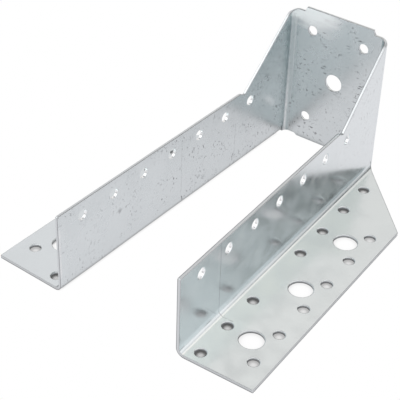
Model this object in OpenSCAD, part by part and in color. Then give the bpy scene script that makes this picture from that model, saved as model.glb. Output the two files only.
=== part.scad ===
// Joist hanger folded from one galvanised sheet: a U-shaped stirrup with a deep
// seat plate, two long side walls and two flanges turned outward.
//
// Frame, in mm: the flanges' back faces lie on z = 0 and +Z points away from the
// header. X runs across the joist, x = 0 is the middle plane. +Y points at the seat.
// The origin is the middle of the seat's bearing face, level with the back faces.
// The hanger lies as it would on a bench, open end towards -Y.

/* [Sheet] */
// thickness of the sheet
sheet_thickness = 1.5; // [1:0.25:2]
// inner radius of every bend
bend_radius = 2.5; // [1.5:0.25:3]

/* [Seat] */
// clear width between the walls at the seat, which is the joist's width
joist_width = 51; // [44:1:76]
// depth of the seat plate, from the header's face to its free edge
seat_depth = 74; // [68:1:86]
// how far the corners of the seat's free edge are cut back
seat_edge_step = 2.5; // [1:0.25:4]
// how far the corners of the seat's back edge are cut back
seat_back_step = 1; // [0.5:0.25:2]
// distance of each seat step from the wall
seat_step_inset = 7; // [5:0.5:9]

/* [Walls] */
// length of the walls from the bearing face to the free end
wall_length = 168; // [130:1:220]
// depth of the narrow part of the walls
wall_depth = 41; // [36:1:46]
// angle by which each wall opens outward from square
wall_splay = 1.9; // [0:0.1:3]
// distance from the seat to the foot of the taper
taper_foot = 37.4; // [30:0.1:50]
// depth of the nick where the taper meets the narrow part
nick_depth = 1.7; // [0.5:0.1:2.5]

/* [Flanges] */
// reach of each flange from the wall's inner face
flange_reach = 37.5; // [34:0.5:44]
// distance from the seat to the end of the flange's slanted edge
slant_length = 42.6; // [30:0.1:46]
// distance from the seat to the start of the slanted edge
slant_start = 2.7; // [2:0.1:6]

/* [Flange holes] */
// diameter of every nail hole
nail_hole = 5; // [4:0.1:5.5]
// diameter of the flange's bolt holes
bolt_hole = 11; // [9:0.5:13]
// spacing of the nail holes along a row
pitch = 20; // [18:1:24]
// distance of the inner nail row from the wall's inner face
inner_row = 8.5; // [8:0.25:10]
// distance of the outer nail row from the flange's edge
outer_row = 8.5; // [6:0.25:9]
// distance of the bolt row from the flange's edge
bolt_row = 16.25; // [15:0.25:18]
// distance from the seat to the first hole of the inner nail row
inner_first = 22.25; // [20:0.25:28]
// distance from the seat to the first hole of the outer nail row
outer_first = 54.25; // [50:0.25:60]
// distance from the seat to the first bolt hole
bolt_first = 63.5; // [60:0.25:72]
// place of the hole left out of the inner nail row, 0 for none
left_out = 5; // [0:1:8]

/* [Wall and seat holes] */
// distance of the wall's nail row from the edge of its narrow part
wall_row = 7; // [5:0.25:9]
// distance from the seat to the first nail hole of the wall
wall_first = 33; // [30:0.5:40]
// diameter of the hole in the middle of the seat
seat_hole = 9; // [7:0.5:13]
// distance of the seat's nail holes from the wall
seat_nail_inset = 11.25; // [9:0.25:13]
// spacing of the seat's nail holes along the seat's depth
seat_nail_spacing = 49; // [40:0.5:52]

/* [Hidden] */
t = sheet_thickness;
ri = bend_radius;
ro = ri + t;
half_w = joist_width / 2;
sweep = 90 - wall_splay;
// distance from the corner of the inner faces to where the wall turns straight
turn = round(ri * tan(sweep / 2) * 1000) / 1000;
// half the seat's flat width, up to where its bends begin
flat_half = round((half_w - ri * (1 - sin(wall_splay)) / cos(wall_splay)) * 1000) / 1000;
step_half = half_w - seat_step_inset;
corner_z = seat_depth - seat_edge_step;
corner_r = 7;
corner_x = half_w + t - 5.2;
// height of the wall's edge where it leaves the seat's bend
taper_top = corner_z - 2;
seat_mid = seat_depth / 2 + 1;
bolt_pitch = 2 * pitch;
n_inner = floor((wall_length - 5 - inner_first) / pitch) + 1;
n_outer = floor((wall_length - 5 - outer_first) / pitch) + 1;
n_bolt = floor((wall_length - 12 - bolt_first) / bolt_pitch) + 1;
n_wall = floor((wall_length - 5 - wall_first) / pitch) + 1;
over = 1;

// Outline of the seat and its two bends, seen along Y.
module seat_outline() {
    translate([-step_half, 0]) square([2 * step_half, seat_depth]);
    // slopes of the two steps
    polygon([
        [-step_half - 1.2, seat_back_step], [-step_half, 0], [step_half, 0],
        [step_half + 1.2, seat_back_step], [step_half + 0.8, corner_z],
        [step_half, seat_depth - 0.8], [-step_half, seat_depth - 0.8],
        [-step_half - 0.8, corner_z]
    ]);
    translate([-corner_x, seat_back_step])
        square([2 * corner_x, corner_z - seat_back_step]);
    translate([-corner_x - corner_r, seat_back_step])
        square([2 * (corner_x + corner_r), corner_z - corner_r - seat_back_step]);
    for (s = [-1, 1])
        translate([s * corner_x, corner_z - corner_r]) circle(r = corner_r, $fn = 96);
}

// Places a child in the frame of one side. Its origin is the axis of the seat's
// bend, x points outward, square to the wall, and y runs along the wall. The
// wall's inner face is at x = ri and its flat part begins at y = 0.
module side(s) {
    mirror([s > 0 ? 0 : 1, 0, 0])
        translate([flat_half, -ri, 0]) rotate([0, 0, wall_splay]) children();
}

// Quarter turn of the sheet between the seat and a wall, in the part's frame.
module seat_bend(s) {
    mirror([s > 0 ? 0 : 1, 0, 0]) translate([flat_half, -ri, 0])
        rotate_extrude(angle = sweep, start = wall_splay, $fn = 96)
            translate([ri, 0]) square([t, seat_depth]);
}

// Flat part of a wall, with its foot beside the seat's bend.
module wall() {
    end = wall_length - turn;
    foot = taper_foot - turn;
    low = wall_depth - nick_depth;
    translate([ri, 0, 0]) rotate([90, 0, 90]) linear_extrude(height = t)
        polygon([
            [-end, ro], [turn - slant_start, ro], [turn - slant_start, seat_back_step],
            [0, seat_back_step], [0, taper_top], [-foot, low], [-foot - 0.7, low + 0.1],
            [-foot - 1.5, wall_depth - nick_depth * 0.55],
            [-foot - 2.3, wall_depth - nick_depth * 0.18], [-foot - 3.3, wall_depth],
            [-end + 0.8, wall_depth], [-end, wall_depth - 0.8]
        ]);
}

// Bend between a wall and its flange, and the flange itself.
module flange() {
    end = wall_length - turn;
    edge = ri + flange_reach;
    slant = (slant_length - slant_start) / (flange_reach - t);
    intersection() {
        union() {
            translate([ri + ro, 0, ro]) rotate([90, 0, 0])
                rotate([0, 0, 180]) rotate_quarter(end);
            translate([ri + ro, -end, 0]) cube([edge - ri - ro, end, t]);
        }
        // slanted rear edge
        translate([0, 0, -over]) linear_extrude(height = ro + 2 * over)
            polygon([
                [ri - over, -end - over], [edge + over, -end - over],
                [edge + over, turn - slant_length - slant * over],
                [ri + t, turn - slant_start], [ri, 0], [ri - over, 0]
            ]);
    }
}

// Quarter tube of the sheet's bend, standing on z = 0.
module rotate_quarter(length) {
    rotate_extrude(angle = 90, $fn = 96) translate([ri, 0]) square([t, length]);
}

// Punched holes of one side.
module side_holes() {
    inner = ri + inner_row;
    outer = ri + flange_reach - outer_row;
    bolts = ri + flange_reach - bolt_row;
    for (k = [0 : n_inner - 1]) if (k + 1 != left_out)
        translate([inner, turn - inner_first - k * pitch, t / 2])
            cylinder(h = t + 2 * over, d = nail_hole, center = true, $fn = 48);
    for (k = [0 : n_outer - 1])
        translate([outer, turn - outer_first - k * pitch, t / 2])
            cylinder(h = t + 2 * over, d = nail_hole, center = true, $fn = 48);
    for (k = [0 : n_bolt - 1])
        translate([bolts, turn - bolt_first - k * bolt_pitch, t / 2])
            cylinder(h = t + 2 * over, d = bolt_hole, center = true, $fn = 72);
    for (k = [0 : n_wall - 1])
        translate([ri + t / 2, turn - wall_first - k * pitch, wall_depth - wall_row])
            rotate([0, 90, 0])
                cylinder(h = t + 2 * over, d = nail_hole, center = true, $fn = 48);
}

// Punched holes of the seat.
module seat_holes() {
    for (sx = [-1, 1], sz = [-1, 1])
        translate([sx * (half_w - seat_nail_inset), t / 2, seat_mid + sz * seat_nail_spacing / 2])
            rotate([90, 0, 0])
                cylinder(h = t + 2 * over, d = nail_hole, center = true, $fn = 48);
    translate([0, t / 2, seat_mid]) rotate([90, 0, 0])
        cylinder(h = t + 2 * over, d = seat_hole, center = true, $fn = 72);
}

module joist_hanger() {
    color([0.74, 0.76, 0.77])
    difference() {
        union() {
            intersection() {
                union() {
                    translate([-flat_half, 0, 0]) cube([2 * flat_half, t, seat_depth]);
                    for (s = [-1, 1]) seat_bend(s);
                }
                translate([0, t + over, 0]) rotate([90, 0, 0])
                    linear_extrude(height = t + ro + 2 * over) seat_outline();
            }
            for (s = [-1, 1]) side(s) {
                wall();
                flange();
            }
        }
        for (s = [-1, 1]) side(s) side_holes();
        seat_holes();
    }
}

joist_hanger();
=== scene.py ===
"""Studio scene of a joist hanger folded from one galvanised steel sheet.

The hanger is made the way a press shop makes it. A flat blank is outlined and
punched, its edges get the rounding and tearing that a punch leaves, the blank is
filled, and a fold map turns the whole of it into the finished hanger. The frame
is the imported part's: the flanges' back faces on z = 0, x = 0 the middle plane and
+Y towards the seat. Sizes inside the classes are in millimetres.
"""

import logging
import math
from collections.abc import Callable
from dataclasses import dataclass, field
from enum import Enum

import bpy
import numpy as np
from mathutils import Matrix, Vector
from mathutils.geometry import delaunay_2d_cdt


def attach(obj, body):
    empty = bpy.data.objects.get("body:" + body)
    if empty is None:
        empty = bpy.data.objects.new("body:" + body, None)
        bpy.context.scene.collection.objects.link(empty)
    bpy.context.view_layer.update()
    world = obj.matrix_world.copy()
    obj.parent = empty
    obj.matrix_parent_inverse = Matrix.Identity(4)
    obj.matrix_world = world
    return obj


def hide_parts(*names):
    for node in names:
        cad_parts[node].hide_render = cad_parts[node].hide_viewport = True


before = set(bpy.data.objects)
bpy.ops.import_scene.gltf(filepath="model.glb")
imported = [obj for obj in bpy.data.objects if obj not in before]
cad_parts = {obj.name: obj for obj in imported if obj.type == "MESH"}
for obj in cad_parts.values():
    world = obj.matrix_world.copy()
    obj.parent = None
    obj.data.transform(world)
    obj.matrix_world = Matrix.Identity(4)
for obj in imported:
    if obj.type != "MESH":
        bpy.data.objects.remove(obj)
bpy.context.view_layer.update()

LOG = logging.getLogger("joist_hanger")
MM = 0.001
HOLE_RIM_BARE = 0.62

Socket = bpy.types.NodeSocket
Array = np.ndarray
Triple = tuple[float, float, float]
Numbers = tuple[float, ...]
# A smooth step: low and high, then its values there unless they are 0 and 1.
Ramp = Numbers

join = np.concatenate


class Cut(Enum):
    """The three kinds of edge that the press leaves on the blank."""

    SHEARED = "sheared"
    NAIL = "nail"
    BOLT = "bolt"


@dataclass(frozen=True)
class SheetStock:
    """The steel sheet: its thickness and the inner radius of its bends."""

    thickness: float = 1.5
    bend_radius: float = 2.5

    @property
    def outer(self) -> float:
        """Outer radius of a bend."""
        return self.bend_radius + self.thickness

    @property
    def middle(self) -> float:
        """Radius of a bend at the middle of the sheet."""
        return self.bend_radius + self.thickness / 2


@dataclass(frozen=True)
class EdgeProfile:
    """Section of a punched or sheared edge, from the bearing face to the outer face.

    The punch enters the outer face: it draws the coating over a rounded lip, lip
    wide and lip_depth deep, cuts a smooth land, and tears the rest, which opens by
    tear towards a small burr. Bareness of zinc runs from 0 to 1.
    """

    lip: float
    lip_depth: float
    tear: float
    tear_height: float
    burr: float
    land_bare: float
    rim_bare: float

    # Points up the tear: shares of its height, shares of its opening, and bareness.
    tear_rise: Numbers = (0.12, 0.36, 0.52, 1.0, 1.08)
    tear_back: Numbers = (0.9, 0.66, 0.5, 0.06, 0.0)
    torn: Numbers = (1.0, 1.0, 0.75)
    # Points over the lip, in degrees; the first two are still land, the last is face.
    lip_angles: Numbers = (0.0, 15.0, 30.0, 47.0, 58.0, 73.0, 85.0, 90.0)

    def section(self, thickness: float) -> tuple[Array, Array, Array]:
        """Works out the edge's section.

        The burr is a small quarter circle, the tear a straight slope, the land
        straight, and the lip a quarter ellipse.

        Args:
            thickness: the sheet's thickness.

        Returns:
            How far each point stands back into the sheet, its height above the
            bearing face, and how bare of zinc it is, from 0 to 1.
        """
        a = np.linspace(0, math.pi / 2, 4)
        back = [self.tear + self.burr * (1 - np.sin(a))]
        high = [self.burr * (1 - np.cos(a))]
        bare = [a / a[-1]]
        back.append(self.tear * np.array(self.tear_back))
        high.append(self.burr + (self.tear_height - self.burr) * np.array(self.tear_rise))
        bare.append(np.array([*self.torn, self.land_bare, self.land_bare]))
        b = np.radians(self.lip_angles)
        back.append(self.lip * (1 - np.cos(b)))
        high.append(thickness - self.lip_depth * (1 - np.sin(b)))
        bare.append(np.repeat([self.land_bare, self.rim_bare, 0.0], [2, 5, 1]))
        return join(back), join(high), join(bare)


@dataclass(frozen=True)
class Loop:
    """A closed edge of the blank, with the sheet on its left."""

    points: Array
    cut: Cut
    sharpest: float = 0.35

    def inset(self, distance: float) -> Array:
        """The loop moved into the sheet, each corner along its mitre.

        Args:
            distance: how far to move it.

        Returns:
            The moved points.
        """
        ahead = np.roll(self.points, -1, 0) - self.points
        ahead /= np.linalg.norm(ahead, axis=1, keepdims=True)
        left = np.stack([-ahead[:, 1], ahead[:, 0]], 1)
        mitre = left + np.roll(left, 1, 0)
        mitre /= np.maximum((mitre * left).sum(1, keepdims=True), self.sharpest)
        return self.points + mitre * distance


def spread(points: Array, step: float) -> Array:
    """Adds points to an open line so that none of its pieces is longer than a step.

    Args:
        points: the line's corners.
        step: the longest piece allowed.

    Returns:
        The line with its added points, both ends kept.
    """
    lengths = np.linalg.norm(np.diff(points, axis=0), axis=1)
    counts = np.maximum(1, np.ceil(lengths / step)).astype(int)
    parts = [
        a + (b - a) * np.arange(n)[:, None] / n
        for a, b, n in zip(points[:-1], points[1:], counts)
    ]
    return join([*parts, points[-1:]])


def rounded(corners: list[tuple[float, float, float]], steps: int = 6) -> Array:
    """Rounds the corners of an open line.

    Each corner is cut back along both its sides by its own distance, and a
    quadratic curve joins the two cuts.

    Args:
        corners: x, z and cut-back distance of each corner.
        steps: number of points on each curve.

    Returns:
        The rounded line.
    """
    c = np.array(corners, float)
    p, cut = c[:, :2], c[:, 2]
    out = [p[:1]]
    for before, here, after, d in zip(p[:-2], p[1:-1], p[2:], cut[1:-1]):
        a = here + (before - here) / np.linalg.norm(before - here) * d
        b = here + (after - here) / np.linalg.norm(after - here) * d
        k = np.linspace(0, 1, steps)[:, None]
        out.append((1 - k) ** 2 * a + 2 * k * (1 - k) * here + k**2 * b)
    out.append(p[-1:])
    return join(out)


@dataclass(frozen=True)
class FoldMap:
    """Turns the flat blank into the folded hanger.

    Blank coordinates are q across the seat and on along the walls, and z up the
    seat. Beyond each bend's middle-of-sheet length the panel runs on straight. A
    narrow tab beside the seat's bend stays unfolded where the flange is slit off.
    """

    stock: SheetStock = SheetStock()
    joist_width: float = 51.0
    splay: float = math.radians(1.9)
    tab: float = 0.3

    @property
    def sweep(self) -> float:
        """Angle of the bend between the seat and a wall."""
        return math.pi / 2 - self.splay

    @property
    def flat_half(self) -> float:
        """Half the seat's flat width."""
        inward = (1 - math.sin(self.splay)) / math.cos(self.splay)
        return self.joist_width / 2 - self.stock.bend_radius * inward

    @property
    def turn(self) -> float:
        """Distance from the bearing face to where a wall turns straight."""
        return self.stock.bend_radius * math.tan(self.sweep / 2)

    @property
    def wall_start(self) -> float:
        """Blank distance from the middle to where a wall turns straight."""
        return self.flat_half + self.stock.middle * self.sweep

    @property
    def fold_height(self) -> float:
        """Blank height at which the wall starts to bend into its flange."""
        return self.stock.outer

    @property
    def fold_length(self) -> float:
        """Blank length of the bend between a wall and its flange."""
        return self.stock.middle * math.pi / 2

    def blank_reach(self, reach: float) -> float:
        """Blank height of a line on the flange, from its reach off the wall's inside."""
        past = reach - self.stock.outer
        return self.fold_height - self.fold_length - past

    def below(self, flat: Array) -> Array:
        """How far points of the blank lie below the fold, 0 off the walls."""
        along = np.abs(flat[:, 0]) - self.wall_start
        return np.where(along > self.tab, np.maximum(self.fold_height - flat[:, 1], 0), 0)

    def place(self, flat: Array, depth: Array) -> Array:
        """Folds points of the blank.

        The seat's bend turns the sheet about an upright axis by q over the middle
        radius, the flange's about an axis along the wall by the height below the
        fold over the same radius. What lies beyond runs straight.

        Args:
            flat: blank coordinates q and z, one row per point.
            depth: height of each point above the bearing face.

        Returns:
            Places in the part's frame, in millimetres.
        """
        s = self.stock
        q, z = flat[:, 0], flat[:, 1]
        x = np.abs(q)
        turned = np.clip((x - self.flat_half) / s.middle, 0, self.sweep)
        along = np.maximum(x - self.wall_start, 0)
        below = self.below(flat)
        theta = np.clip(below / s.middle, 0, math.pi / 2)
        out = s.bend_radius + s.outer - (s.outer - depth) * np.cos(theta)
        out += np.maximum(below - self.fold_length, 0)
        height = np.where(below > 0, s.outer - (s.outer - depth) * np.sin(theta), z)
        px = np.minimum(x, self.flat_half) + out * np.sin(turned)
        px += along * math.sin(self.splay)
        py = -s.bend_radius + out * np.cos(turned) - along * math.cos(self.splay)
        return np.stack([np.sign(q) * px, py, height], 1)

    def lean(self, normals: Array, flat: Array, angle: float) -> Array:
        """Turns the flanges' normals outward, as if each flange had sprung past square.

        The turn is about the fold's own axis. It grows with the bend's angle and
        stays the same over the flange.

        Args:
            normals: one unit normal per point.
            flat: blank coordinates of each point.
            angle: the full turn, in radians.

        Returns:
            The turned normals.
        """
        q = flat[:, 0]
        turn = angle * np.clip(self.below(flat) / self.fold_length, 0, 1) * np.sign(q)
        across = -np.sin(self.splay) * np.sign(q)
        axis = np.stack([across, np.full_like(q, np.cos(self.splay)), 0 * q], 1)
        c, s = np.cos(turn)[:, None], np.sin(turn)[:, None]
        along_axis = (normals * axis).sum(1, keepdims=True)
        return normals * c + np.cross(axis, normals) * s + axis * along_axis * (1 - c)


@dataclass(frozen=True)
class Blank:
    """The flat blank: its outline and its punched holes.

    Every row's first hole is measured from the bearing face. The rows of the flange
    stand off the wall's inside or the flange's edge, the wall's off its free edge.
    """

    fold: FoldMap = FoldMap()
    seat_depth: float = 74.0
    edge_step: float = 2.5
    back_step: float = 1.0
    step_inset: float = 7.0
    corner_radius: float = 7.0
    wall_length: float = 168.0
    wall_depth: float = 41.0
    taper_foot: float = 37.4
    nick: float = 1.7
    flange_reach: float = 37.5
    slant_length: float = 42.6
    slant_start: float = 2.7
    pitch: float = 20.0
    nail: float = 5.0
    bolt: float = 11.0
    seat_hole: float = 9.0
    inner_row: float = 8.5
    outer_row: float = 8.5
    bolt_row: float = 16.25
    wall_row: float = 7.0
    inner_first: float = 22.25
    outer_first: float = 54.25
    bolt_first: float = 63.5
    wall_first: float = 33.0
    left_out: int = 5
    seat_nail_inset: float = 11.25
    seat_nail_spacing: float = 49.0
    corner_inset: float = 5.2
    corner_sag: float = 0.34
    rim_step: float = 1.5
    wall_step: float = 1.6
    flange_step: float = 1.8
    tab_step: float = 0.6
    slit: float = 0.2
    bend_steps: int = 14
    shortest: float = 0.04

    def seat_top(self) -> Array:
        """Right half of the seat's free edge, from the middle to the wall.

        Flat, then a small step, then a circle about a point near the bend, seen
        square to the seat and wound round the bend.
        """
        f, s = self.fold, self.fold.stock
        step = f.joist_width / 2 - self.step_inset
        high = self.seat_depth - self.edge_step
        corner = f.joist_width / 2 + s.thickness - self.corner_inset
        top = self.seat_depth
        lead = [(0, top, 0), (step, top, 0.45), (step + 0.15, top - 1.0, 0.3)]
        lead = rounded([*lead, (step + 0.9, high, 0.5), (corner, high, 0)])
        lead = spread(lead, self.rim_step)
        flat = np.linspace(corner, f.flat_half, 4)[1:]
        turned = np.linspace(0, f.sweep, self.bend_steps + 1)[1:]
        seen = join([flat, f.flat_half + s.middle * np.sin(turned)])
        q = join([flat, f.flat_half + s.middle * turned])
        z = high - self.corner_radius
        z = z + np.sqrt(self.corner_radius**2 - (seen - corner) ** 2)
        wound = np.clip((q - f.flat_half) / (f.wall_start - f.flat_half), 0, 1)
        z -= self.corner_sag * wound**2
        return join([lead, np.stack([q, z], 1)])

    def wall_and_flange(self) -> Array:
        """Right half of the outline, from the wall's top round its free end to the slit."""
        f, s = self.fold, self.fold.stock
        at = f.wall_start
        end = at + self.wall_length - f.turn
        foot = at + self.taper_foot - f.turn
        low, top = self.wall_depth - self.nick, self.wall_depth
        corner = self.seat_depth - self.edge_step
        slope = (self.slant_length - self.slant_start) / (self.flange_reach - s.thickness)
        edge = f.blank_reach(self.flange_reach)
        upper = [(at, corner - 2, 0), (at + 1.1, corner - 2.6, 0.9), (foot, low, 0.5)]
        upper += [(foot + 1.3, low + 0.45, 0.5), (foot + 3.3, top, 1.0), (end, top, 0.9)]
        upper = rounded([*upper, (end, f.fold_height, 0)])
        bend = f.fold_height - np.linspace(0, f.fold_length, self.bend_steps + 1)
        down = np.stack([np.full_like(bend, end), bend], 1)
        theta = np.linspace(math.pi / 2, 0, self.bend_steps + 1)
        out = s.outer - s.middle * np.cos(theta)
        cut = self.slant_start - f.turn + slope * (out - s.thickness)
        cut = np.maximum(cut, f.tab + 0.35)
        fold_end = np.stack([at + cut, f.fold_height - s.middle * theta], 1)
        tail = at + self.slant_length - f.turn
        slant = [(end, bend[-1], 0), (end, edge, 0.6), (tail, edge, 0.6)]
        slant = rounded([*slant, (fold_end[0, 0], bend[-1], 0)])
        upper, slant = spread(upper, self.wall_step), spread(slant, self.flange_step)
        return join([upper, down[1:-1], slant, fold_end[1:-1]])

    def seat_bottom(self) -> Array:
        """Right half of the outline from the slit beside the flange to the seat's middle."""
        f = self.fold
        step = f.joist_width / 2 - self.step_inset
        edge = f.wall_start + f.tab - 0.05
        k = np.linspace(0, math.pi, 7)[:, None]
        head = np.array([edge + self.slit, f.fold_height + 0.3])
        head = head + self.slit * join([np.cos(k), np.sin(k)], 1)
        tab = np.array([[edge, f.fold_height], [edge, self.back_step + 0.25]])
        tab = spread(tab, self.tab_step)
        turned = np.linspace(f.sweep, 0, self.bend_steps + 1)
        q = f.flat_half + f.stock.middle * turned
        under = np.stack([q, np.full_like(q, self.back_step)], 1)
        lead = [(f.flat_half, self.back_step, 0), (step + 1.2, self.back_step, 0.5)]
        lead = rounded([*lead, (step, 0, 0.5), (0, 0, 0)])
        return join([head, tab, under[:-1], spread(lead, self.rim_step)])

    def outline(self) -> Loop:
        """The outline: the right half and its mirror image, with the sheet on the left."""
        right = [self.seat_top(), self.wall_and_flange(), self.seat_bottom()]
        right = join(right)
        keep = np.linalg.norm(np.diff(right, axis=0), axis=1) > self.shortest
        right = right[join([[True], keep])]
        mirrored = (right * [-1, 1])[::-1]
        loop = join([right, mirrored[1:-1]])[::-1]
        return Loop(loop, Cut.SHEARED)

    def hole(self, q: float, z: float, diameter: float, cut: Cut) -> Loop:
        """A round hole: a circle run clockwise, so that the sheet is on its left."""
        n = 56 if cut is Cut.NAIL else 84
        a = -np.linspace(0, 2 * math.pi, n, endpoint=False)
        ring = np.stack([np.cos(a), np.sin(a)], 1) * diameter / 2
        return Loop(ring + [q, z], cut)

    def row(
        self, first: float, z: float, count: int, cut: Cut = Cut.NAIL, left_out: int = 0
    ) -> list[Loop]:
        """Holes in a straight row along both walls or both flanges.

        Args:
            first: distance from the bearing face to the row's first place.
            z: blank height of the row.
            count: number of places.
            cut: nail holes, or bolt holes at twice their pitch.
            left_out: the place that has no hole, 0 for none.

        Returns:
            The holes, right and left in turn.
        """
        diameter, pitch = self.nail, self.pitch
        if cut is Cut.BOLT:
            diameter, pitch = self.bolt, 2 * self.pitch
        start = self.fold.wall_start - self.fold.turn + first
        places = [start + k * pitch for k in range(count) if k + 1 != left_out]
        return [self.hole(s * q, z, diameter, cut) for q in places for s in (1, -1)]

    def holes(self) -> list[Loop]:
        """Every punched hole, both sides and the seat."""
        reach = self.fold.blank_reach
        middle = self.seat_depth / 2 + 1
        across = self.fold.joist_width / 2 - self.seat_nail_inset
        sides, up = (across, -across), self.seat_nail_spacing / 2
        return [
            *self.row(self.inner_first, reach(self.inner_row), 8, left_out=self.left_out),
            *self.row(self.outer_first, reach(self.flange_reach - self.outer_row), 6),
            *self.row(self.bolt_first, reach(self.flange_reach - self.bolt_row), 3, Cut.BOLT),
            *self.row(self.wall_first, self.wall_depth - self.wall_row, 7),
            *[self.hole(q, middle + h, self.nail, Cut.NAIL) for h in (-up, up) for q in sides],
            self.hole(0, middle, self.seat_hole, Cut.BOLT),
        ]


@dataclass
class HangerSheet:
    """The folded hanger as one closed, smooth piece.

    Grain is the spacing of the panels' points and spring the lean of the flanges'
    normals. No row of a bend's points lies further apart than seat_row or fold_row,
    and points stay panel_gap or bend_gap away from every edge.
    """

    blank: Blank = field(default_factory=Blank)
    grain: float = 3.0
    spring: float = math.radians(4.4)
    bend_margin: float = 1.1
    seat_row: float = 1.6
    fold_row: float = 1.8
    panel_gap: float = 1.0
    bend_gap: float = 0.45
    waviness: float = 0.5
    lift: float = 0.06
    profiles: dict[Cut, EdgeProfile] = field(
        default_factory=lambda: {
            Cut.SHEARED: EdgeProfile(0.36, 0.34, 0.05, 0.7, 0.07, 0.50, 0.89),
            Cut.NAIL: EdgeProfile(0.42, 0.42, 0.08, 0.70, 0.05, 0.22, HOLE_RIM_BARE),
            Cut.BOLT: EdgeProfile(0.38, 0.38, 0.12, 0.70, 0.06, 0.22, HOLE_RIM_BARE),
        }
    )

    def dents(self, flat: Array) -> Array:
        """Faint waves that rolling and pressing leave, the same on both faces.

        A sum of three long sines, lifted so that the bearing faces hardly ever sink
        below their true planes.

        Args:
            flat: blank coordinates.

        Returns:
            Outward displacement of the sheet, in millimetres.
        """
        q, z = flat[:, 0], flat[:, 1]
        wave = (
            0.05 * np.sin(q / 11.3 + 0.4 + z / 37.0)
            + 0.04 * np.sin(q / 6.1 - z / 9.7 + 1.9)
            + 0.035 * np.sin(z / 7.9 + q / 23.0 + 0.7)
        )
        return wave * self.waviness + self.lift

    def fill_points(self, rings: list[Array]) -> Array:
        """Points inside the blank for its faces to be built on.

        A staggered grid covers the panels, and straight rows of points at equal
        angles cover the bends. Points near an edge are left out.

        Args:
            rings: the edges of the face, the outline first.

        Returns:
            The points kept.
        """
        b, f = self.blank, self.blank.fold
        end = f.wall_start + b.wall_length
        low, high = f.blank_reach(b.flange_reach), b.seat_depth
        rows, columns = np.arange(low, high, self.grain), np.arange(0, end, self.grain)
        zz, qq = np.meshgrid(rows, columns, indexing="ij")
        qq = qq + (np.arange(len(zz)) % 2 * self.grain / 2)[:, None]
        panel = np.stack([qq.ravel(), zz.ravel()], 1)
        x, z = panel[:, 0], panel[:, 1]
        room = self.bend_margin
        in_seat_bend = (x > f.flat_half - room) & (x < f.wall_start + room)
        in_fold = (x > f.wall_start) & (z < f.fold_height + room)
        in_fold &= z > f.fold_height - f.fold_length - room
        panel = panel[~(in_seat_bend | in_fold)]
        steps = np.linspace(0, 1, b.bend_steps + 1)
        q1 = f.flat_half + (f.wall_start - f.flat_half) * steps
        z1 = np.arange(b.back_step + 0.8, high, self.seat_row)
        g1 = np.meshgrid(q1, z1, indexing="ij")
        q2 = np.arange(f.wall_start + 1.4, end, self.fold_row)
        z2 = f.fold_height - f.fold_length * steps
        g2 = np.meshgrid(q2, z2, indexing="ij")
        bends = [np.stack([a.ravel(), c.ravel()], 1) for a, c in (g1, g2)]
        half = join([panel, *bends])
        near = np.full(len(half), self.bend_gap)
        near[: len(panel)] = self.panel_gap
        off = half[:, 0] > 0.1
        points = join([half, half[off] * [-1, 1]])
        near = join([near, near[off]])
        keep = inside(points, rings[0])
        edge = join(rings)
        for part in np.array_split(np.arange(len(points)), 12):
            gap = ((points[part, None] - edge[None]) ** 2).sum(2).min(1)
            keep[part] &= gap > near[part] ** 2
        for ring in rings[1:]:
            centre = ring.mean(0)
            keep &= ((points - centre) ** 2).sum(1) > ((ring[0] - centre) ** 2).sum() + 0.5
        return points[keep]

    def face(self, rings: list[Array]) -> tuple[Array, Array]:
        """Fills one face of the blank between its edges.

        A Delaunay net over the edge points and the fill points, less the
        triangles outside the outline or inside a hole.

        Args:
            rings: the edges of the face, the outline first.

        Returns:
            The net's points and its triangles, counter-clockwise.
        """
        loose = self.fill_points(rings)
        flat = join([*rings, loose])
        starts = np.cumsum([0, *[len(r) for r in rings]])
        runs = [a + np.arange(len(r)) for a, r in zip(starts, rings)]
        edges = join([np.stack([run, np.roll(run, -1)], 1) for run in runs]).tolist()
        corners = [Vector(p) for p in flat]
        verts, _, tris, *_ = delaunay_2d_cdt(corners, edges, [], 0, 1e-6, False)
        points = np.array([tuple(v) for v in verts])
        net = np.array(tris)
        middle = points[net].mean(1)
        keep = inside(middle, rings[0])
        for ring in rings[1:]:
            centre = ring.mean(0)
            reach = ((ring - centre) ** 2).sum(1).min()
            keep &= ((middle - centre) ** 2).sum(1) > reach * 0.985
        return points, net[keep]

    def build(self) -> bpy.types.Object:
        """Builds the folded sheet.

        Both faces are nets on the blank. Each edge is its section carried along
        its loop: ring by ring the loop is inset and raised. The fold map then
        places every point, and the mesh is closed by merging what meets.

        Returns:
            The new object, in metres.
        """
        fold, t = self.blank.fold, self.blank.fold.stock.thickness
        loops = [self.blank.outline(), *self.blank.holes()]
        flats, depths, bares, faces, base = [], [], [], [], 0
        ends: dict[int, list[Array]] = {0: [], -1: []}
        for loop in loops:
            back, high, bare = self.profiles[loop.cut].section(t)
            rings = [loop.inset(d) for d in back]
            ends[0].append(rings[0])
            ends[-1].append(rings[-1])
            n, k = len(loop.points), len(rings)
            flats.append(join(rings))
            depths.append(np.repeat(high, n))
            bares.append(np.repeat(bare, n))
            i = np.arange(n)
            j = (i + 1) % n
            row = base + np.arange(k - 1)[:, None] * n
            quads = np.stack([row + i, row + n + i, row + n + j, row + j], 2).reshape(-1, 4)
            faces.append(quads)
            base += n * k
        nets = []
        for side, depth in ((0, 0.0), (-1, t)):
            points, net = self.face(ends[side])
            flats.append(points)
            depths.append(np.full(len(points), depth))
            bares.append(np.zeros(len(points)))
            nets.append((net if side == 0 else net[:, ::-1]) + base)
            base += len(points)
        flat, depth = join(flats), join(depths)
        places = fold.place(flat, depth + self.dents(flat)) * MM
        inner = (depth < t / 2).astype(float)
        return weld(
            "hanger_sheet",
            places,
            [*faces, *nets],
            {"bare_steel": join(bares), "inner_side": inner},
            flat,
            lambda normals, at: fold.lean(normals, at, self.spring),
        )


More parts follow.
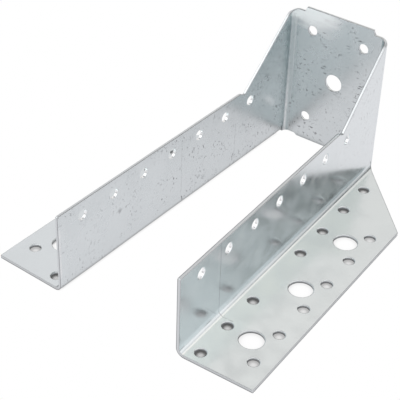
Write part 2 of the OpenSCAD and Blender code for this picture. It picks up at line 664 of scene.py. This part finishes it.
def inside(points: Array, ring: Array) -> Array:
    """Tells which points lie inside a closed ring, by counting crossings to the right.

    Args:
        points: the points asked about.
        ring: the ring's corners.

    Returns:
        One truth value per point.
    """
    a, b = ring, np.roll(ring, -1, 0)
    found = np.zeros(len(points), bool)
    for part in np.array_split(np.arange(len(points)), 16):
        p = points[part]
        spans = (a[None, :, 1] > p[:, None, 1]) != (b[None, :, 1] > p[:, None, 1])
        with np.errstate(divide="ignore", invalid="ignore"):
            x = a[:, 0] + (p[:, None, 1] - a[:, 1]) * (b[:, 0] - a[:, 0]) / (b[:, 1] - a[:, 1])
        found[part] = (spans & (x > p[:, None, 0])).sum(1) % 2 == 1
    return found


def put(name: str, data: bpy.types.ID) -> bpy.types.Object:
    """Makes an object of some data and puts it in the scene."""
    made = bpy.data.objects.new(name, data)
    bpy.context.scene.collection.objects.link(made)
    return made


def weld(
    name: str,
    places: Array,
    faces: list[Array],
    values: dict[str, Array],
    flat: Array,
    turn: Callable[[Array, Array], Array],
) -> bpy.types.Object:
    """Makes a smooth mesh object and merges points that meet.

    Points that agree to a ten-thousandth of a millimetre become one. A point's
    normal is the sum of its faces' area vectors, so that panels shade flat.

    Args:
        name: the object's name.
        places: points in metres.
        faces: blocks of faces, each an array of point numbers.
        values: one number per point under each name, kept as attributes.
        flat: blank coordinates of each point, kept as a UV map in metres.
        turn: what is done to the normals, given them and the blank coordinates.

    Returns:
        The new object.
    """
    keys = np.round(places / 1e-7).astype(np.int64)
    _, first, number = np.unique(keys, axis=0, return_index=True, return_inverse=True)
    number = number.ravel()
    points = places[first]
    blocks = [number[block] for block in faces]
    area = np.zeros_like(points)
    for block in blocks:
        p = points[block]
        across = np.cross(p[:, 1] - p[:, 0], p[:, 2] - p[:, 0])
        if block.shape[1] == 4:
            across += np.cross(p[:, 2] - p[:, 0], p[:, 3] - p[:, 0])
        for corner in range(block.shape[1]):
            np.add.at(area, block[:, corner], across)
    normals = area / np.maximum(np.linalg.norm(area, axis=1, keepdims=True), 1e-20)
    normals = turn(normals, flat[first])
    mesh = bpy.data.meshes.new(name)
    mesh.from_pydata(points.tolist(), [], [f for block in blocks for f in block.tolist()])
    for key, value in values.items():
        layer = mesh.attributes.new(key, "FLOAT", "POINT")
        layer.data.foreach_set("value", value[first].astype(np.float32))
    corner_point = np.zeros(len(mesh.loops), np.int32)
    mesh.loops.foreach_get("vertex_index", corner_point)
    chart = mesh.uv_layers.new(name="blank")
    chart.data.foreach_set("uv", (flat[first][corner_point] * MM).astype(np.float32).ravel())
    mesh.polygons.foreach_set("use_smooth", np.ones(len(mesh.polygons), bool))
    mesh.update()
    mesh.normals_split_custom_set_from_vertices(normals.tolist())
    return put(name, mesh)


class Value:
    """A number, vector or colour in a node tree, written with + - * and abs."""

    def __init__(self, nodes: "Nodes", socket: Socket) -> None:
        """Keeps the tree and the socket that gives the value."""
        self.nodes, self.socket = nodes, socket

    def __add__(self, other: object) -> "Value":
        """This number plus another."""
        return self.nodes.math("ADD", self, other)

    def __sub__(self, other: object) -> "Value":
        """This number less another."""
        return self.nodes.math("SUBTRACT", self, other)

    def __rsub__(self, other: object) -> "Value":
        """A plain number less this one."""
        return self.nodes.math("SUBTRACT", other, self)

    def __mul__(self, other: object) -> "Value":
        """This number times another."""
        return self.nodes.math("MULTIPLY", self, other)

    def __abs__(self) -> "Value":
        """This number without its sign."""
        return self.nodes.math("ABSOLUTE", self)

    def ramp(self, low: float, high: float, start: object = 0.0, end: object = 1.0) -> "Value":
        """Takes the number through a smooth step, from start at low to end at high."""
        node = self.nodes.add("MapRange", interpolation_type="SMOOTHSTEP", clamp=True)
        keys = ("Value", "From Min", "From Max", "To Min", "To Max")
        for key, v in zip(keys, (self, low, high, start, end)):
            self.nodes.feed(node.inputs[key], v)
        return Value(self.nodes, node.outputs[0])

    def ramps(self, first: Ramp, *others: Ramp) -> "Value":
        """Takes the number through several smooth steps and multiplies the results."""
        return math.prod([self.ramp(*step) for step in others], start=self.ramp(*first))


class Nodes:
    """Short ways to write a node tree."""

    def __init__(self, block: bpy.types.Material | bpy.types.World) -> None:
        """Gives a material or world an empty tree and keeps it."""
        block.use_nodes = True
        self.tree = block.node_tree
        self.tree.nodes.clear()

    def add(self, kind: str, **settings: object) -> bpy.types.Node:
        """Adds a node.

        Args:
            kind: the node's type, without its ShaderNode prefix.
            settings: sockets by name, with _ for a space, or the node's own properties.

        Returns:
            The node.
        """
        node = self.tree.nodes.new("ShaderNode" + kind)
        for key, value in settings.items():
            if hasattr(node, key):
                setattr(node, key, value)
            else:
                self.feed(node.inputs[key.replace("_", " ")], value)
        return node

    def feed(self, socket: Socket, value: object) -> None:
        """Sets a socket to a plain value, or links it to a value of the tree or a socket."""
        value = value.socket if isinstance(value, Value) else value
        if isinstance(value, Socket):
            self.tree.links.new(value, socket)
        else:
            socket.default_value = value

    def read(self, kind: str, output: int | str, **settings: object) -> Value:
        """Adds a node and reads one of its outputs."""
        return Value(self, self.add(kind, **settings).outputs[output])

    def split(self, value: Value, kind: str = "XYZ") -> list[Value]:
        """The three parts of a vector, or of a colour if the kind is Color."""
        node = self.add("Separate" + kind)
        self.feed(node.inputs[0], value)
        return [Value(self, part) for part in node.outputs]

    def math(self, operation: str, *values: object, kind: str = "Math", output: int = 0) -> Value:
        """An operation on one, two or three numbers, or on vectors if the kind is VectorMath."""
        node = self.add(kind, operation=operation)
        for socket, value in zip(node.inputs, values):
            self.feed(socket, value)
        return Value(self, node.outputs[output])

    def mix(self, share: Value, a: Value | Triple, b: Value | Triple) -> Value:
        """Blends two colours, the second by a share held between 0 and 1."""
        node = self.add("Mix", data_type="RGBA", clamp_factor=True)
        self.feed(node.inputs[0], share)
        for socket, colour in ((node.inputs[6], a), (node.inputs[7], b)):
            self.feed(socket, (*colour, 1) if isinstance(colour, tuple) else colour)
        return Value(self, node.outputs[2])

    def noise(self, at: Value, scale: float, detail: float = 3.0) -> Value:
        """Cloudy noise, from 0 to 1."""
        return self.read("TexNoise", "Fac", Vector=at, Scale=scale, Detail=detail)

    def blank(self) -> Value:
        """Place on the flat blank, in metres."""
        return self.read("UVMap", 0, uv_map="blank")


@dataclass(frozen=True)
class Scratch:
    """A thin scratch that runs across the strip: its place on the blank and its tone."""

    q: float
    low: float
    high: float
    width: float
    tone: float


@dataclass(frozen=True)
class Marks:
    """Small irregular marks scattered over the sheet, one in a share of its cells.

    A cell's size is in millimetres and the largest mark's radius in cells.
    """

    cell: tuple[float, float]
    share: float
    radius: float

    def strength(self, n: Nodes, at: Value) -> Value:
        """Draws for each cell if it holds a mark, how large and how strong.

        Args:
            n: the node tree.
            at: blank coordinates in millimetres.

        Returns:
            How strong the mark is at a point, from 0 to 1. Noise makes it ragged.
        """
        grid = n.read("Mapping", 0, vector_type="TEXTURE", Vector=at, Scale=(*self.cell, 1.0))
        dots = n.add("TexVoronoi", voronoi_dimensions="2D", feature="F1", Vector=grid, Scale=1.0)
        _, size, tone = n.split(Value(n, dots.outputs["Color"]), "Color")
        reach = size.ramp(1 - self.share, 1 - self.share * 0.4) * self.radius
        reach = reach * (n.noise(at, 1.8, 2.0) * 2.4 - 0.2)
        dot = (reach - dots.outputs["Distance"]).ramp(0.0, self.radius * 0.3)
        return dot * tone.ramp(0.0, 1.0, 0.4, 1.0)


@dataclass(frozen=True)
class Wear:
    """Specks, short lines, a smudge and thin scratches, mostly on the inner faces.

    Places and sizes are in millimetres on the blank. Dashes lie on the seat, up to
    seat_edge from its middle, and swayed strokes on the walls.
    """

    specks: Marks = Marks((1.5, 1.5), 0.11, 0.25)
    strokes: Marks = Marks((1.1, 3.8), 0.13, 0.33)
    dashes: Marks = Marks((4.2, 1.2), 0.22, 0.31)
    seat_edge: float = 26.0
    sway: Triple = (7.0, 7.0, 0.0)
    crowd: Ramp = (0.42, 0.60, 0.08, 1.15)
    outer_along: Ramp = (78.0, 50.0)
    outer_up: Ramp = (8.0, 16.0)
    outer_tone: float = 0.34
    free_end: Ramp = (-150.0, -105.0, 0.5, 1.0)
    smudge: tuple[float, float] = (-155.0, 22.3)
    scratches: tuple[Scratch, ...] = (
        Scratch(-111.5, 5.0, 38.0, 0.13, 0.16),
        Scratch(-70.0, 6.0, 26.0, 0.13, 0.20),
        Scratch(-101.3, 2.5, 14.5, 0.12, 0.10),
        Scratch(-193.0, 8.0, 34.0, 0.35, -0.14),
        Scratch(164.5, -6.0, 41.0, 0.13, 0.20),
    )

    def lines(self, n: Nodes, at: Value, q: Value) -> Value:
        """Dashes on the seat, strokes on the walls, and thin curls on both.

        Args:
            n: the node tree.
            at: blank coordinates in millimetres.
            q: the first of them.

        Returns:
            How strong a line is at a point.
        """
        drift = n.read("TexNoise", "Color", Vector=at, Scale=0.11, Detail=1.0)
        swayed = n.math("MULTIPLY_ADD", drift, self.sway, at, kind="VectorMath")
        on_seat = n.math("LESS_THAN", abs(q), self.seat_edge)
        marks = self.dashes.strength(n, at) * on_seat
        marks = marks + self.strokes.strength(n, swayed) * (1.0 - on_seat)
        curl = abs(n.noise(at, 0.42, 2.0) - 0.5).ramp(0.040, 0.014)
        return marks + curl * n.noise(at, 0.60, 1.0).ramp(0.56, 0.64) * 0.8

    def depth(self, n: Nodes, inner: Value) -> Value:
        """Lays all the wear over the sheet.

        A scratch is a thin line along z that strays a little and breaks up.

        Args:
            n: the node tree.
            inner: 1 on the faces that bear on the joist, 0 on the others.

        Returns:
            How much darker the zinc is at a point; below 0 where it is lighter.
        """
        at = n.read("Mapping", 0, Vector=n.blank(), Scale=(1000.0, 1000.0, 1.0))
        q, z, _ = n.split(at)
        spots = self.specks.strength(n, at) * 0.9 + self.lines(n, at, q) * 0.88
        spots = n.math("MINIMUM", spots, 1.0) * n.noise(at, 0.085, 2.0).ramp(*self.crowd)
        outer = q.ramp(*self.outer_along) * z.ramp(*self.outer_up) * self.outer_tone + 0.04
        total = spots * n.math("MAXIMUM", inner, outer) * q.ramp(*self.free_end)
        near = abs(q - self.smudge[0]) + abs(z - self.smudge[1])
        near = near + (n.noise(at, 0.9) * 4.0 - 2.0)
        total = total + near.ramp(2.6, 0.4) * 0.5
        part = n.noise(at, 0.35, 2.0).ramp(0.35, 0.6, 0.3, 1.0)
        for s in self.scratches:
            across = abs(q - (n.noise(z, 0.2, 1.0) * 0.8 + (s.q - 0.4)))
            along = abs(z - (s.low + s.high) / 2)
            line = across.ramp(s.width * 2.2, s.width)
            line = line * n.math("LESS_THAN", along, (s.high - s.low) / 2)
            total = total + line * part * (s.tone * 2)
        return total


@dataclass(frozen=True)
class GalvanisedFinish:
    """Hot-dip galvanised sheet: satin zinc with faint spangle, specks and scuffs.

    Near the seat's bends, painted shade darkens the sheet beside the bend and in
    its foot, and a painted highlight runs along a thin line between them. Their ramps
    run over the distance from the seat's middle, in metres.
    """

    zinc: Triple = (0.700, 0.762, 0.772)
    dark_zinc: Triple = (0.628, 0.690, 0.702)
    # Painted shade beside the seat's bends and in their foot.
    bend_shade_zinc: Triple = (0.22, 0.32, 0.33)
    # Painted highlight along a thin line on the seat's bends.
    bend_highlight_zinc: Triple = (0.96, 1.0, 1.0)
    # Pale colour of a rougher patch, partly a painted sheen.
    dull_sheen_zinc: Triple = (0.90, 0.95, 0.95)
    # Near-white painted highlight over the walls' nail-hole cuts.
    cut_highlight_zinc: Triple = (0.97, 1.0, 1.0)
    bright: Triple = (1.0, 1.0, 1.0)
    speck: Triple = (0.20, 0.21, 0.22)
    cut_steel: Triple = (0.61, 0.655, 0.665)
    # Dark grey of torn steel, deepened to paint a shade line at the cuts.
    torn_steel_shade: Triple = (0.22, 0.23, 0.24)
    wear: Wear = Wear()
    gloss: float = 0.24
    # Where the painted shade and the painted highlight line lie across the seat's bends.
    wall_bend_shade: tuple[Ramp, Ramp] = ((0.0269, 0.0277), (0.0345, 0.0285))
    foot: tuple[Ramp, Ramp] = ((0.0232, 0.0244), (0.0262, 0.0248))
    bend_highlight: tuple[Ramp, Ramp] = ((0.0259, 0.0263), (0.0271, 0.0267))
    bend_middle: float = 0.0256
    bend_width: Ramp = (0.0032, 0.0020)
    wall_bend_shade_up: Ramp = (0.008, 0.045, 0.4, 1.0)
    wall_holes: float = 0.034
    wall_hole_reach: Ramp = (0.0039, 0.0034)
    wall_middle: float = 0.110
    wall_half: float = 0.080
    # Share of the walls' nail-hole cuts kept out of bare steel's colour and given a painted
    # highlight.
    lightened_wall_cut_share: float = 0.80
    # Place and size of the rougher patch that is partly a painted sheen.
    dull_sheen_place: Triple = (-0.014, 0.073, 0)
    dull_sheen_size: Triple = (0.018, 0.013, 1)

    def dull_sheen_patch(self, n: Nodes) -> Value:
        """Where the coating is rougher and painted pale as a bright sheen, at one upper corner of
        the seat.
        """
        place = {"Location": self.dull_sheen_place, "Scale": self.dull_sheen_size}
        here = n.read("Mapping", 0, vector_type="TEXTURE", Vector=n.blank(), **place)
        off = n.math("LENGTH", here, kind="VectorMath", output=1)
        turned = n.read("Mapping", 0, Vector=n.blank(), Rotation=(0, 0, 0.5), Scale=(90, 380, 1))
        return (off + (n.noise(turned, 1.0) * 0.9 - 0.45)).ramp(1.0, 0.35)

    def bends(self, n: Nodes, inner: Value, q: Value, z: Value) -> list[tuple[Value, Triple]]:
        """Paints shade and a thin highlight on the inner side of the seat's bends.

        Args:
            n: the node tree.
            inner: 1 on the faces that bear on the joist.
            q: distance from the seat's middle along the blank.
            z: height on the blank.

        Returns:
            Two layers, each its share and its colour.
        """
        at = n.read("TexCoord", "Object")
        patches = n.noise(at, 380.0).ramp(0.35, 0.65, 0.3, 1.0)
        # Painted shade on the wall past each bend and in the bend's foot, with a painted highlight
        # line between them.
        wall_bend_shade = q.ramps(*self.wall_bend_shade) * inner * patches * z.ramp(*self.wall_bend_shade_up)
        foot = q.ramps(*self.foot) * inner
        patches = n.noise(at, 420.0).ramp(0.35, 0.65, 0.3, 0.85)
        bend_highlight = q.ramps(*self.bend_highlight) * inner * patches
        dark = wall_bend_shade * 0.46 + foot * 0.48
        return [(dark, self.bend_shade_zinc), (bend_highlight, self.bend_highlight_zinc)]

    def material(self) -> bpy.types.Material:
        """Builds the material.

        Cuts are bare steel, torn at their darkest, and that dark is partly a painted shade line.
        On the walls' nail holes the cuts are mostly left in zinc's colour and carry a
        near-white painted highlight.

        Returns:
            The material, on Object coordinates and the blank's own map.
        """
        made = bpy.data.materials.new("galvanised_sheet")
        n = Nodes(made)
        at = n.read("TexCoord", "Object")
        inner = n.read("Attribute", "Fac", attribute_name="inner_side")
        cut = n.read("Attribute", "Fac", attribute_name="bare_steel")
        q, z, _ = n.split(n.blank())
        q = abs(q)
        spangle = n.read("TexVoronoi", "Color", feature="F1", Vector=at, Scale=420.0)
        tone = n.split(spangle, "Color")[0] * 0.22 + n.noise(at, 35.0) * 0.60
        share = tone.ramp(0.15, 0.85, 0.0, inner.ramp(0.0, 1.0, 0.16, 0.40))
        base = n.mix(share, self.zinc, self.dark_zinc)
        wear = self.wear.depth(n, inner) * cut.ramp(0.12, 0.0)
        # Rougher patch at the seat's corner, painted pale as a sheen.
        dull_sheen = self.dull_sheen_patch(n) * inner
        # The walls' nail-hole cuts: less bare steel, and a near-white painted highlight over them.
        on_wall = n.math("COMPARE", q, self.wall_middle, self.wall_half)
        row = abs(z - self.wall_holes).ramp(*self.wall_hole_reach)
        lightened_wall_cut = row * on_wall * self.lightened_wall_cut_share
        bare = cut * (1.0 - lightened_wall_cut)
        cut_highlight = cut.ramp(0.05, 0.2) * (1.0 - n.math("COMPARE", cut, HOLE_RIM_BARE, 0.08))
        layers = [
            (wear, self.speck),
            (wear * -1.0, self.bright),
            *self.bends(n, inner, q, z),
            (dull_sheen, self.dull_sheen_zinc),
            (bare.ramp(0.1, 0.45), self.cut_steel),
            # Torn zone: torn steel's grey, deepened into painted shade.
            (bare.ramp(0.82, 0.98), self.torn_steel_shade),
            (cut_highlight * lightened_wall_cut, self.cut_highlight_zinc),
        ]
        for share, colour in layers:
            base = n.mix(share, base, colour)
        bent = abs(q - self.bend_middle).ramp(*self.bend_width)
        rough = n.noise(at, 90.0, 4.0).ramp(0.3, 0.7, self.gloss - 0.04, self.gloss + 0.06)
        rough = rough + inner.ramp(0.0, 1.0, -0.04, 0.0) + bare * 0.14 + bent * 0.12
        skin = n.add("Bump", Distance=0.0002, Height=n.noise(at, 900.0, 2.0))
        n.feed(skin.inputs["Strength"], inner.ramp(0.0, 1.0, 0.012, 0.055))
        shader = n.add("BsdfPrincipled", Metallic=1.0, Base_Color=base)
        n.feed(shader.inputs["Roughness"], rough + dull_sheen * 0.55)
        n.feed(shader.inputs["Normal"], skin.outputs[0])
        n.add("OutputMaterial", Surface=shader.outputs[0])
        return made


@dataclass(frozen=True)
class Patch:
    """A part of the surroundings: ramps over the turn times ramps over the height."""

    turn: tuple[Ramp, ...]
    height: tuple[Ramp, ...] = ()

    def share(self, turn: Value, height: Value) -> Value:
        """How far a direction lies in the patch, given its turn and height."""
        across = turn.ramps(*self.turn)
        return across * height.ramps(*self.height) if self.height else across


@dataclass(frozen=True)
class Surroundings:
    """The pale room that the sheet reflects.

    Turn is the angle from +Y towards +X and height the angle above the horizon, both
    in degrees. A dark band lies below 38 degrees over part of the turn, its edge
    sunk by band_drop, and a dark card hangs near the zenith.
    """

    band: Patch = Patch(((-16.0, 4.0), (38.0, 32.0, 0.28, 1.0), (43.5, 37.5)))
    band_drop: Ramp = (22.5, 29.5, -4.2, 0.0)
    band_edge: Ramp = (38.4, 32.8)
    band_depth: float = 1.12
    sides: Ramp = (-15.0, 3.0, 0.955, 1.10)
    glows_and_dip: tuple[Patch, ...] = (
        Patch(((0.0, 15.0),), ((43.5, 49.0, 0.0, 0.14),)),
        Patch(((-36.0, -30.0),), ((40.5, 47.5, 0.0, 0.10),)),
        Patch(((42.0, 49.0),), ((34.0, 28.0, 0.0, 0.24),)),
        Patch(((-6.0, 0.0), (14.0, 8.0)), ((51.0, 46.0, 0.0, -0.17),)),
    )
    card_way: Triple = (-0.155, 0.268, 0.951)
    card_edge: Ramp = (0.938, 0.970)
    card_depth: float = 0.95
    horizon: Ramp = (6.0, 27.0)
    horizon_least: tuple[Ramp, Ramp] = ((-5.0, 20.0, 0.58, 0.68), (42.0, 52.0, 0.0, 0.32))
    air: Triple = (1.0, 0.955, 0.965)
    band_tint: Triple = (0.90, 0.955, 0.955)
    tints: tuple[tuple[Patch, Triple], ...] = (
        (Patch(((-36.0, -30.0), (30.0, 24.0))), (1.0, 0.947, 0.926)),
        (Patch(((4.0, 14.0), (30.0, 24.0)), ((37.0, 41.0),)), (1.05, 0.965, 0.895)),
    )

    def light(self, n: Nodes) -> Value:
        """Works out the room's colour in every direction.

        Args:
            n: the world's node tree.

        Returns:
            The colour.
        """
        way = n.read("TexCoord", "Generated")
        x, y, z = n.split(way)
        turn = n.math("DEGREES", n.math("ARCTAN2", x, y))
        height = n.math("DEGREES", n.math("ARCSINE", z))
        low = (height - turn.ramp(*self.band_drop)).ramp(*self.band_edge)
        low = low * self.band.share(turn, height)
        card = n.math("DOT_PRODUCT", way, self.card_way, kind="VectorMath", output=1)
        tone = turn.ramp(*self.sides)
        for patch in self.glows_and_dip:
            tone = tone + patch.share(turn, height)
        tone = tone - low * self.band_depth - card.ramp(*self.card_edge) * self.card_depth
        least, rise = [turn.ramp(*step) for step in self.horizon_least]
        tone = tone * height.ramp(*self.horizon, least + rise, 1.0)
        room = n.mix(low, self.air, self.band_tint)
        for patch, tint in self.tints:
            room = n.mix(patch.share(turn, height), room, tint)
        return n.read("VectorMath", 0, operation="SCALE", Vector=room, Scale=tone)


@dataclass(frozen=True)
class FloorShade:
    """How the white floor darkens close to the sheet, in metres.

    The flange's footprint is bounded by the wall's line, the outer edge, the free end
    and the slanted end. Places across it are measured outward from the wall's line.
    """

    splay: float = 0.033
    wall: float = 0.0272
    slant: float = 0.902
    slant_start: float = 0.0024
    across: tuple[Ramp, Ramp] = ((0.0, 0.002), (0.036, 0.034))
    free_end: Ramp = (0.1655, 0.1645)
    slant_edge: Ramp = (0.0, 0.002)
    rows: tuple[Ramp, Ramp] = ((0.0095, 0.0125, 0.12, 0.85), (0.0240, 0.0250, 1.0, 0.55))
    lean: Triple = (0.42, 0.42, 0.80)
    near: float = 0.005
    far: float = 0.1

    def tones(self, n: Nodes) -> tuple[Value, Value]:
        """Works out the floor's tone from how open it is to the sky.

        Below the flange the shade is deepest at the inner row of holes.

        Args:
            n: the floor's node tree.

        Returns:
            The tone that the camera sees and the one that the metal reflects.
        """
        x, y, _ = n.split(n.read("TexCoord", "Object"))
        y = y * -1.0
        off = abs(x) - y * self.splay - self.wall
        slant = y * self.slant - self.slant_start - off
        under = off.ramps(*self.across) * y.ramp(*self.free_end) * slant.ramp(*self.slant_edge)
        close = n.read("AmbientOcclusion", "AO", samples=16, Distance=self.near)
        wide = n.read("AmbientOcclusion", "AO", samples=8, Distance=self.far)
        tilted = n.read("AmbientOcclusion", "AO", samples=16, Distance=self.near, Normal=self.lean)
        deep = tilted.ramp(0.50, 0.96, off.ramps(*self.rows), 1.0)
        seen = deep * under + close.ramp(0.05, 0.42, 0.74, 1.0) * (1.0 - under)
        mirrored = close.ramp(0.40, 0.92, under * -0.30 + 0.55, under * -0.22 + 1.0)
        return seen, mirrored * wide.ramp(0.25, 0.9, 0.82, 1.0)


@dataclass(frozen=True)
class Lamp:
    """A soft square lamp: where it is, what it faces, its side and its radiance."""

    name: str
    place: Triple
    target: Triple
    side: float
    radiance: float


@dataclass(frozen=True)
class Studio:
    """Floor, lamps, surroundings and camera."""

    lamps: tuple[Lamp, ...] = (
        Lamp("top_softbox", (-0.2, 0.0, 1.6), (0.0, -0.08, 0.0), 1.2, 0.15),
        Lamp("key_softbox", (-0.68, -0.80, 1.05), (0.0, -0.05, 0.03), 0.75, 1.2),
    )
    room: Surroundings = Surroundings()
    shade: FloorShade = FloorShade()
    lens: float = 110.069
    sensor: float = 36.0
    eye: Triple = (0.247501, -0.460348, 0.350224)
    right: Triple = (0.804890, 0.592848, 0.026136)
    up: Triple = (-0.371174, 0.468591, 0.801656)
    floor_radius: float = 3.0
    floor_sides: int = 96
    floor_drop: float = 0.0001
    floor_tint: Triple = (1.0, 0.955, 0.975)

    def camera(self) -> bpy.types.Object:
        """Makes the scene's camera from its own right and up directions."""
        data = bpy.data.cameras.new("camera")
        data.lens, data.sensor_width = self.lens, self.sensor
        data.clip_start, data.clip_end = 0.01, 50.0
        camera = put("camera", data)
        x, y = Vector(self.right).normalized(), Vector(self.up).normalized()
        turned = Matrix((x, y, x.cross(y))).transposed().to_4x4()
        camera.matrix_world = Matrix.Translation(self.eye) @ turned
        bpy.context.scene.camera = camera
        return camera

    def light(self) -> None:
        """Hangs the lamps; a lamp's power is its radiance times its area times pi."""
        for lamp in self.lamps:
            data = bpy.data.lights.new(lamp.name, "AREA")
            data.shape, data.size = "SQUARE", lamp.side
            data.energy = lamp.radiance * lamp.side**2 * math.pi
            light = put(lamp.name, data)
            light.location = lamp.place
            aim = Vector(lamp.target) - Vector(lamp.place)
            light.rotation_euler = aim.to_track_quat("-Z", "Y").to_euler()

    def surroundings(self) -> None:
        """Sets the world: white to the camera, the room's own light to all else."""
        world = bpy.data.worlds.new("studio")
        bpy.context.scene.world = world
        n = Nodes(world)
        to_camera = n.read("LightPath", "Is Camera Ray")
        seen = n.mix(to_camera, self.room.light(n), (1.0, 1.0, 1.0))
        n.add("OutputWorld", Surface=n.add("Background", Color=seen, Strength=1.0).outputs[0])

    def floor(self) -> bpy.types.Object:
        """A round floor, white to the camera and shaded only close to the sheet.

        Returns:
            The floor, staged.
        """
        a = np.linspace(0, 2 * math.pi, self.floor_sides, endpoint=False)
        ring = np.stack([np.cos(a), np.sin(a), 0 * a], 1) * self.floor_radius
        mesh = bpy.data.meshes.new("floor")
        mesh.from_pydata(ring.tolist(), [], [list(range(self.floor_sides))])
        floor = put("floor", mesh)
        floor.location.z = -self.floor_drop
        made = bpy.data.materials.new("white_floor")
        n = Nodes(made)
        shade, soft = self.shade.tones(n)
        black, white = (0.0, 0.0, 0.0), (1.0, 1.0, 1.0)
        seen = n.add("Emission", Color=n.mix(shade, black, white), Strength=1.0)
        mirrored = n.add("Emission", Color=n.mix(soft, black, self.floor_tint), Strength=0.975)
        plain = n.add("BsdfDiffuse", Color=(0.86, 0.87, 0.87, 1))
        shiny = n.add("MixShader", Fac=n.read("LightPath", "Is Glossy Ray"))
        both = n.add("MixShader", Fac=n.read("LightPath", "Is Camera Ray"))
        for mixed, first, second in ((shiny, plain, mirrored), (both, shiny, seen)):
            n.feed(mixed.inputs[1], first.outputs[0])
            n.feed(mixed.inputs[2], second.outputs[0])
        n.add("OutputMaterial", Surface=both.outputs[0])
        mesh.materials.append(made)
        return floor


def main() -> None:
    """Builds the hanger and its studio, and reports each piece."""
    logging.basicConfig(level=logging.INFO, format="%(name)s: %(message)s")
    bpy.context.scene.view_settings.view_transform = "Standard"
    studio = Studio()
    studio.camera()
    studio.light()
    studio.surroundings()
    studio.floor()
    hanger = HangerSheet().build()
    hanger.data.materials.append(GalvanisedFinish().material())
    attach(hanger, "root")
    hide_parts("joist_hanger")
    counts = len(hanger.data.vertices), len(hanger.data.polygons)
    LOG.info("%s: %d points, %d faces", hanger.name, *counts)


if __name__ == "__main__":
    main()
